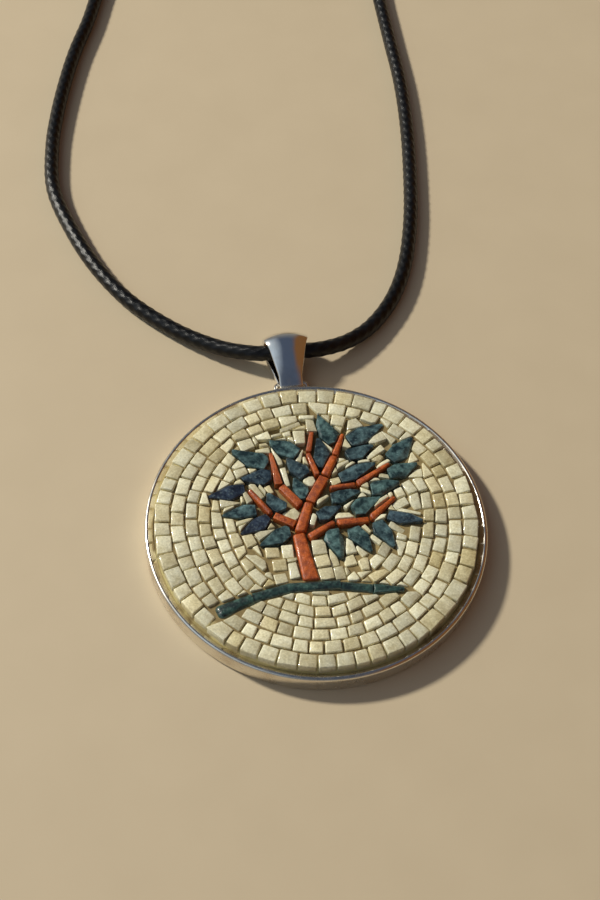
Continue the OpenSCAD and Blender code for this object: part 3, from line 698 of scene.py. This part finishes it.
bpy.ops.object.select_all(action="DESELECT")
bpy.ops.mesh.primitive_cylinder_add(vertices=bail_steps, radius=1 * mm, depth=2 * mm, end_fill_type="NOTHING",
                                    rotation=(0, math.pi / 2, 0))
bail = begin("strip_bail")
bpy.ops.mesh.select_mode(type="EDGE")
pick_edges(bail, lambda a, b: abs(a.x - b.x) > 1 * mm)
bpy.ops.mesh.subdivide(number_cuts=11)
bpy.ops.object.mode_set(mode="OBJECT")
line = drop_line(foot, head, bail_steps)
for vertex in bail.data.vertices:
    k = round(math.atan2(vertex.co.z, vertex.co.y) / math.tau * bail_steps) % bail_steps
    inwards = (line[(k + 1) % bail_steps] - line[k - 1]).normalized()
    inwards = Vector((-inwards.y, inwards.x))
    share = vertex.co.x / (1 * mm)
    along = min(max((line[k].x - foot_y) / (head_y - foot_y), 0), 1)
    crown = share * share * (0.12 + 0.58 * along) * mm
    place = line[k] + inwards * crown
    vertex.co = Vector((share * (foot_w + (head_w - foot_w) * along), place.x, place.y))
bpy.ops.object.mode_set(mode="EDIT")
bpy.ops.mesh.select_all(action="SELECT")
bpy.ops.mesh.normals_make_consistent(inside=False)
bpy.ops.object.mode_set(mode="OBJECT")
sheet = bail.modifiers.new("sheet", "SOLIDIFY")
sheet.thickness = strip_t
sheet.offset = -1
softened = bail.modifiers.new("softened", "BEVEL")
softened.width = 0.1 * mm
softened.segments = 3
softened.limit_method = "ANGLE"
softened.angle_limit = math.radians(60)
only(bail)
bpy.ops.object.modifier_apply(modifier="sheet")
bpy.ops.object.modifier_apply(modifier="softened")
finish_piece(bail, polished, "bail", "silver_plate", "bail", sharp=60)

# ---- Crimps ----
# Stamped sheet boxes folded shut over the two ends of the cord, their flaps meeting in a seam
# on top, each with a flat eye for the jump ring.
fitting = plated_metal("fitting_metal", (0.74, 0.74, 0.74), (0.42, 0.36, 0.28), rough=0.22, tarnish=0.35)
crimp_w = 3 * mm
crimp_l = 6.5 * mm
crimp_h = 2.8 * mm
sheet_t = 0.38 * mm
eye_r = 1 * mm
eye_y = 7.9 * mm
eye_z = 1.6 * mm
seam = 0.07 * mm                    # half the gap between the folded flaps


def put(piece, x, y, degrees):
    # turns and moves a finished shape for good, so that the object stays at the origin
    piece.matrix_world = (Matrix.Translation((x * mm, y * mm, 0))
                          @ Matrix.Rotation(math.radians(degrees), 4, "Z"))
    only(piece)
    bpy.ops.object.transform_apply(location=True, rotation=True, scale=True)


def folded_crimp(name):
    # the eye is a flat washer, and the box is hollow at the cord's end and pinched at the eye's
    bpy.ops.object.select_all(action="DESELECT")
    bpy.ops.mesh.primitive_cylinder_add(vertices=40, radius=eye_r, depth=0.7 * mm,
                                        location=(0, eye_y, eye_z))
    eye = begin(name + "_eye")
    pick_faces(eye, lambda face: abs(face.normal.z) > 0.9)
    bpy.ops.mesh.inset(thickness=0.4 * mm)
    bpy.ops.mesh.bridge_edge_loops()
    centre = Vector((0, eye_y))
    round_edges(eye, lambda a, b: abs(a.z - b.z) < 0.01 * mm
                and abs((a.xy - centre).length - eye_r) < 0.02 * mm, 0.1 * mm, 2)
    bpy.ops.object.mode_set(mode="OBJECT")
    bpy.ops.object.select_all(action="DESELECT")
    bpy.ops.mesh.primitive_cube_add(size=1, location=(0, crimp_l / 2, crimp_h / 2),
                                    scale=(crimp_w, crimp_l, crimp_h))
    box = begin(name)
    round_edges(box, lambda a, b: abs(a.y - b.y) > 1 * mm, 0.5 * mm, 4)
    pick_faces(box, lambda face: face.normal.y < -0.9)
    bpy.ops.mesh.inset(thickness=sheet_t)
    bpy.ops.mesh.extrude_region_move(TRANSFORM_OT_translate={"value": (0, 2 * mm, 0)})
    pick_faces(box, lambda face: face.normal.y > 0.9 and face.center.y > 6 * mm)
    bpy.ops.mesh.inset(thickness=0.25 * mm)
    bpy.ops.transform.translate(value=(0, 0.15 * mm, 0))
    bpy.ops.mesh.inset(thickness=0.3 * mm)
    bpy.ops.transform.resize(value=(0.95, 1, 0.35))
    bpy.ops.transform.translate(value=(0, 0, 0.2 * mm))
    bpy.ops.mesh.extrude_region_move(TRANSFORM_OT_translate={"value": (0, 0.5 * mm, 0)})
    for x in (-seam, seam):
        bpy.ops.mesh.select_all(action="SELECT")
        bpy.ops.mesh.bisect(plane_co=(x, 0, 0), plane_no=(1, 0, 0))
    pick_faces(box, lambda face: face.normal.z > 0.9 and face.center.z > crimp_h - 0.1 * mm
               and abs(face.center.x) < seam - 0.01 * mm)
    bpy.ops.mesh.extrude_region_move(TRANSFORM_OT_translate={"value": (0, 0, -0.2 * mm)})
    round_edges(box, lambda a, b: min(a.z, b.z) > crimp_h - 0.01 * mm and abs(a.x - b.x) < 0.01 * mm
                and abs(abs(a.x) - seam) < 0.01 * mm, 0.08 * mm, 3)
    bpy.ops.object.mode_set(mode="OBJECT")
    only(box, eye)
    bpy.ops.object.join()
    return box


crimp_left = folded_crimp("crimp_left_folded")
crimp_right = crimp_left.copy()
crimp_right.data = crimp_left.data.copy()
crimp_right.name = "crimp_right_folded"
bpy.context.collection.objects.link(crimp_right)
put(crimp_left, -18, 105, 0)
put(crimp_right, -2, 127, 90)
for crimp, node in ((crimp_left, "crimp_left"), (crimp_right, "crimp_right")):
    only(crimp)
    finish_piece(crimp, fitting, "cord", "fitting_metal", node, sharp=35)

# ---- Jump rings ----
# Rings of round wire, closed up through the eyes of the crimps, with a hair's split between
# the cut ends.
ring_r = 1.3 * mm
ring_wire = 0.3 * mm


def jump_ring(name, x, y, degrees, body, node):
    # the ring stands upright in the plane of its wire's middle line, split at the bottom
    ring = bent_wire(name, ring_wire, 16, (0, 0.03 * mm, eye_z - ring_r),
                     [((0, 0, eye_z), (1, 0, 0), 357, 48)])
    bpy.ops.object.mode_set(mode="OBJECT")
    put(ring, x, y, degrees)
    finish_piece(ring, fitting, body, "fitting_metal", node, sharp=60)
    return ring


rings = [jump_ring("ring_left", -18, 114.2, 0, "ring_left", "jump_ring_left"),
         jump_ring("ring_right", -11.2, 127, 90, "ring_right", "jump_ring_right")]

# ---- Clasp ----
# Small cast lobster clasp: a claw with a slot in which a sprung lever turns on a pin. The cast
# edges are tumbled soft.


def softened_copy(node, name, width):
    # the piece's own cut shape with its flat faces made whole and its edges rounded
    piece = bpy.data.objects.new(name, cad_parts[node].data.copy())
    bpy.context.collection.objects.link(piece)
    only(piece)
    bpy.ops.mesh.customdata_custom_splitnormals_clear()
    bpy.ops.object.mode_set(mode="EDIT")
    bpy.ops.mesh.select_all(action="SELECT")
    bpy.ops.mesh.remove_doubles(threshold=1e-6)
    bpy.ops.mesh.dissolve_limited(angle_limit=math.radians(1))
    bpy.ops.object.mode_set(mode="OBJECT")
    soft = piece.modifiers.new("soft", "BEVEL")
    soft.width = width
    soft.segments = 3
    soft.limit_method = "ANGLE"
    soft.angle_limit = math.radians(40)
    bpy.ops.object.modifier_apply(modifier="soft")
    return piece


claw = softened_copy("clasp_body", "clasp_claw", 0.22 * mm)
finish_piece(claw, fitting, "clasp", "fitting_metal", "clasp_body", sharp=40)
lever = softened_copy("clasp_lever", "clasp_lever_arm", 0.14 * mm)
finish_piece(lever, fitting, "lever", "fitting_metal", "clasp_lever", sharp=40)
for node in ("clasp_pin", "clasp_spring"):
    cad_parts[node].data.materials.clear()
    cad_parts[node].data.materials.append(fitting)

# ---- Coil tie ----
# Four turns of waxed brown thread that hold the wound length of cord together, laid side by
# side and pulled flat against the turns.


def tie_thread():
    made, tree, surface = new_material("tie_thread")
    here = add_node(tree, "TexCoord")
    ply = add_node(tree, "TexNoise", scale=3800, detail=4, roughness=0.6)
    worn = add_node(tree, "TexNoise", scale=600, detail=3, roughness=0.5)
    for texture in (ply, worn):
        join_up(tree, (here.outputs["Object"], texture.inputs["Vector"]))
    brown = blend_colours(tree, ply.outputs[0], (0.035, 0.018, 0.008), (0.13, 0.07, 0.035))
    join_up(tree, (blend_colours(tree, spread(tree, worn.outputs[0], 0.5, 0.8), brown, (0.2, 0.13, 0.08)),
                   surface.inputs["Base Color"]),
            (spread(tree, worn.outputs[0], 0.3, 0.7, 0.5, 0.75), surface.inputs["Roughness"]))
    bump = add_node(tree, "Bump", strength=0.6, distance=0.04 * mm)
    join_up(tree, (ply.outputs[0], bump.inputs["Height"]), (bump.outputs[0], surface.inputs["Normal"]))
    return made


thread_r = 0.18 * mm
near = 8.67 * mm                    # the thread's middle line on the inside of the coil
far = 13.43 * mm
under = 0.22 * mm
over = 4.78 * mm
corner = 0.8 * mm
turn_step = 0.39 * mm
axis = (1, 0, 0)
moves = []
for turn in range(4):
    x = (turn - 1.5) * turn_step
    moves += [((x, far - corner, under + corner), axis, 90, 5),
              (0, 0, over - under - 2 * corner),
              ((x, far - corner, over - corner), axis, 90, 5),
              (turn_step, near - far + 2 * corner, 0),
              ((x + turn_step, near + corner, over - corner), axis, 90, 5),
              (0, 0, under - over + 2 * corner),
              ((x + turn_step, near + corner, under + corner), axis, 90, 5),
              (0, far - near - 2 * corner, 0)]
tie = bent_wire("coil_tie_thread", thread_r, 10, (-1.5 * turn_step, near + 2 * corner, under),
                [(0, far - near - 3 * corner, 0)] + moves[:-5] + [(0, -2 * corner, 0)])
bpy.ops.object.mode_set(mode="OBJECT")
put(tie, coil_at[0], coil_at[1], 225 - 90)
finish_piece(tie, tie_thread(), "cord", "tie_thread", "coil_tie", sharp=60)

# ---- Floor and light ----
# A plain pale table top, one lamp from the left behind the necklace, and a room with a high
# bright window on the left, a dim ceiling and a warm wall on the right.
bpy.ops.object.select_all(action="DESELECT")
bpy.ops.mesh.primitive_plane_add(size=3, location=(0, 0, 0))
table = bpy.context.object
table.name = "table"
pale, tree, surface = new_material("pale_table")
here = add_node(tree, "TexCoord")
cloud = add_node(tree, "TexNoise", scale=120, detail=4)
join_up(tree, (here.outputs["Object"], cloud.inputs["Vector"]),
        (blend_colours(tree, cloud.outputs[0], (0.56, 0.46, 0.31), (0.61, 0.505, 0.345)),
         surface.inputs["Base Color"]))
surface.inputs["Roughness"].default_value = 0.6
table.data.materials.append(pale)
light = bpy.data.objects.new("key", bpy.data.lights.new("key", "AREA"))
light.data.shape = "DISK"
light.data.size = 0.16
light.data.energy = 25
light.data.color = (1, 0.95, 0.84)
towards = Vector((-0.68, 0.5, 0.62)).normalized()
light.matrix_world = (Matrix.Translation(Vector((0, 0.02, 0)) + towards * 1.5)
                      @ towards.to_track_quat("Z", "Y").to_matrix().to_4x4())
bpy.context.collection.objects.link(light)
room = bpy.data.worlds.new("room")
room.use_nodes = True
tree = room.node_tree
view = add_node(tree, "TexCoord")
parts = add_node(tree, "SeparateXYZ")
join_up(tree, (view.outputs["Generated"], parts.inputs[0]))
sky = blend_colours(tree, spread(tree, parts.outputs[2], 0.1, 0.75), (0.32, 0.31, 0.28), (0.08, 0.105, 0.16))
window = sums(tree, "MULTIPLY", spread(tree, parts.outputs[0], -0.12, -0.5),
              spread(tree, parts.outputs[2], 0.3, 0.6))
wall = sums(tree, "MULTIPLY", spread(tree, parts.outputs[0], 0.3, 0.45),
            spread(tree, parts.outputs[2], 0.98, 0.9))
sky = blend_colours(tree, window, sky, (0.6, 0.7, 0.8))
join_up(tree, (blend_colours(tree, wall, sky, (0.22, 0.1, 0.035)), tree.nodes["Background"].inputs[0]))
tree.nodes["Background"].inputs[1].default_value = 0.8
bpy.context.scene.world = room
bpy.context.scene.view_settings.view_transform = "Standard"
